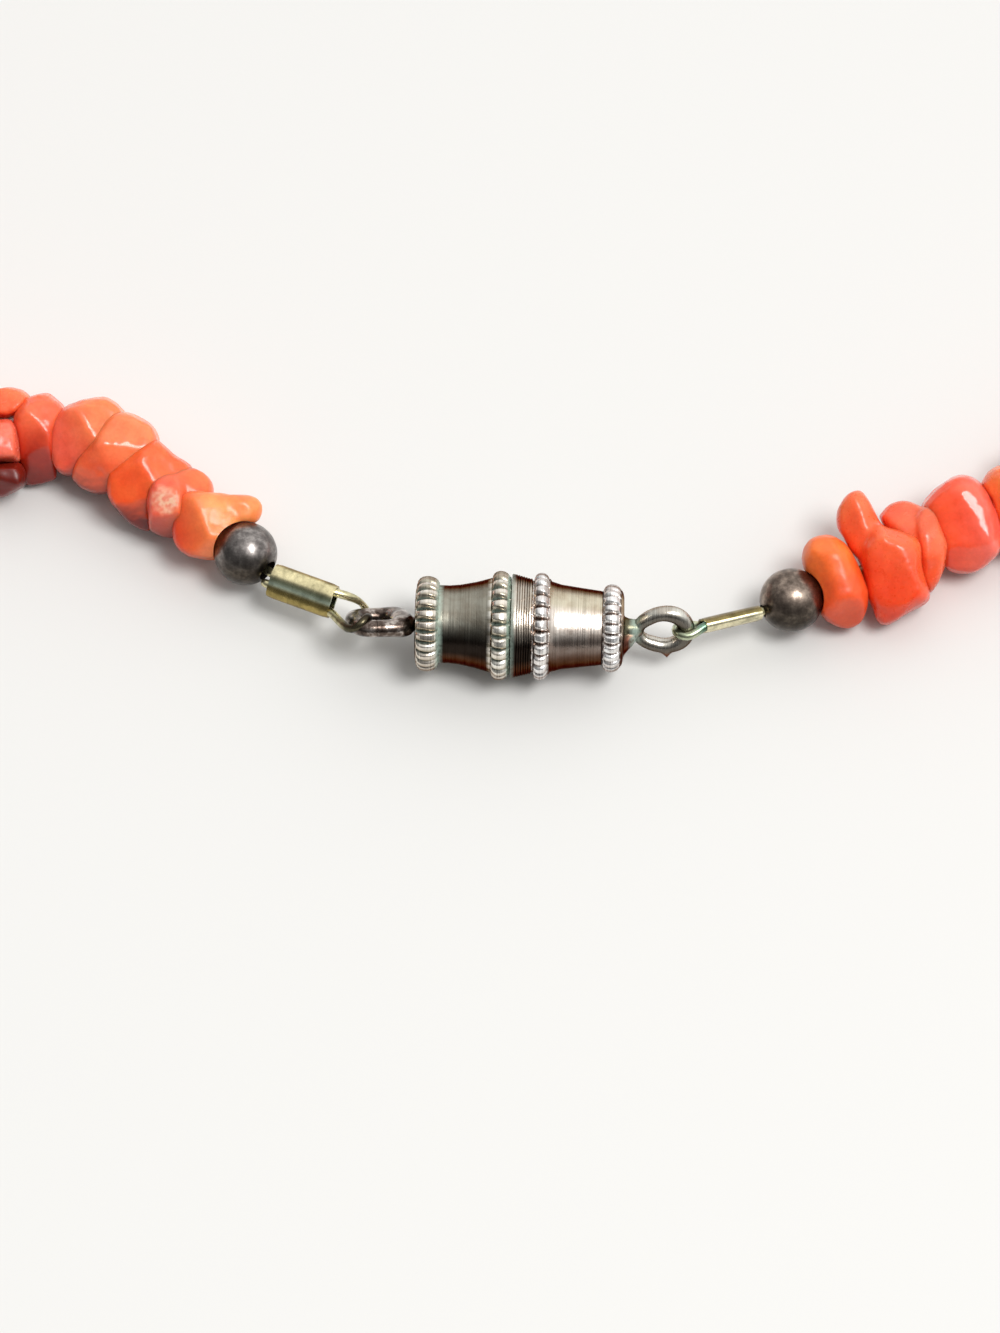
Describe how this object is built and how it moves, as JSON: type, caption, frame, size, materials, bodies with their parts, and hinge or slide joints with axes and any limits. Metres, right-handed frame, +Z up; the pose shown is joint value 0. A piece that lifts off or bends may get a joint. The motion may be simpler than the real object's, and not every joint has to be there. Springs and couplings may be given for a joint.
{
  "type": "coral necklace",
  "caption": "Necklace of tumbled coral chips on one wire loop, closed by a turned screw clasp between a ring and an eye, with silver beads and crimp tubes beside it.",
  "frame": {"origin": "middle of the whole necklace's box on the surface that it lies on", "axes": "+X to the right along the clasp, +Y back across the loop, +Z up from the surface"},
  "size_m": [0.1357, 0.1362, 0.0068],
  "materials": {
    "clasp_silver": "worn turned silver with brown and green tarnish",
    "dark_silver": "oxidised silver, nearly black in its hollows",
    "brass": "flattened tube, bright ridges and dull grey-green hollows",
    "brass_wire": "pale gold, green where it bends",
    "coral": "polished translucent orange-red coral"
  },
  "bodies": {
    "root": {"clasp_left": "clasp_silver", "clasp_right": "clasp_silver", "silver_bead_left": "dark_silver", "silver_bead_right": "dark_silver", "crimp_tube_left": "brass", "crimp_tube_right": "brass", "stringing_wire": "brass_wire", "coral_chips_left": "coral", "coral_chips_right": "coral"}
  },
  "joints": []
}
